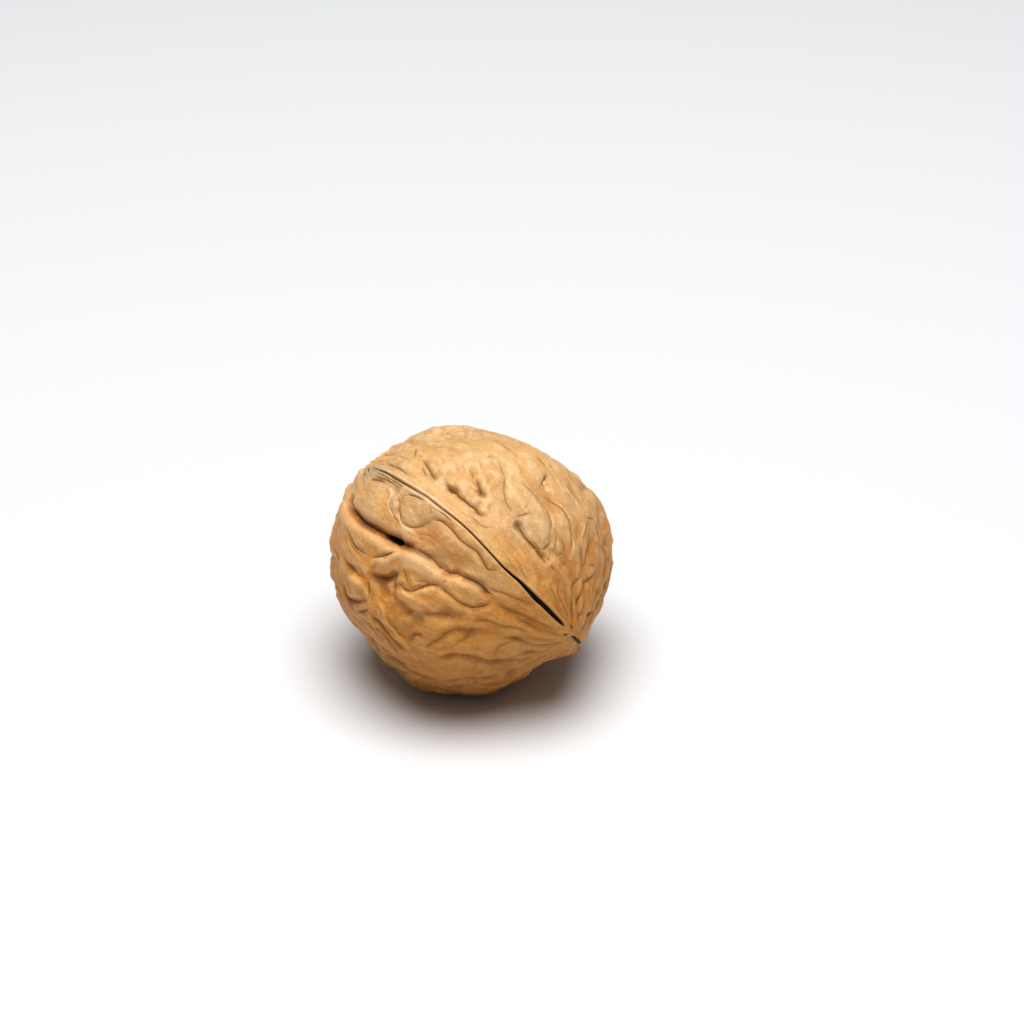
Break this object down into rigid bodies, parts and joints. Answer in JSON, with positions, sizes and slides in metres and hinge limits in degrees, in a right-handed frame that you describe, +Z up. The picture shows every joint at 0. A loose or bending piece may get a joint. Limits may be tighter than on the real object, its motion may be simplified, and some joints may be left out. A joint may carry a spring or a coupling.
{
  "type": "walnut",
  "caption": "Whole walnut in its closed, furrowed shell, lying on its side on a small flat spot, with a raised seam that gapes near the pointed tip.",
  "frame": {"origin": "middle of the bounding box, on the surface that the walnut rests on", "axes": "+Z up; +X along the walnut's length towards the pointed tip, which dips about 13 degrees below level; -Y towards the side that shows the front seam"},
  "size_m": [0.0394, 0.0372, 0.0355],
  "materials": {
    "shell": "dry, light tan brown nutshell with darker furrows and a near-black crack, slightly waxy on the crests"
  },
  "bodies": {
    "root": {"walnut": "shell"}
  },
  "joints": []
}
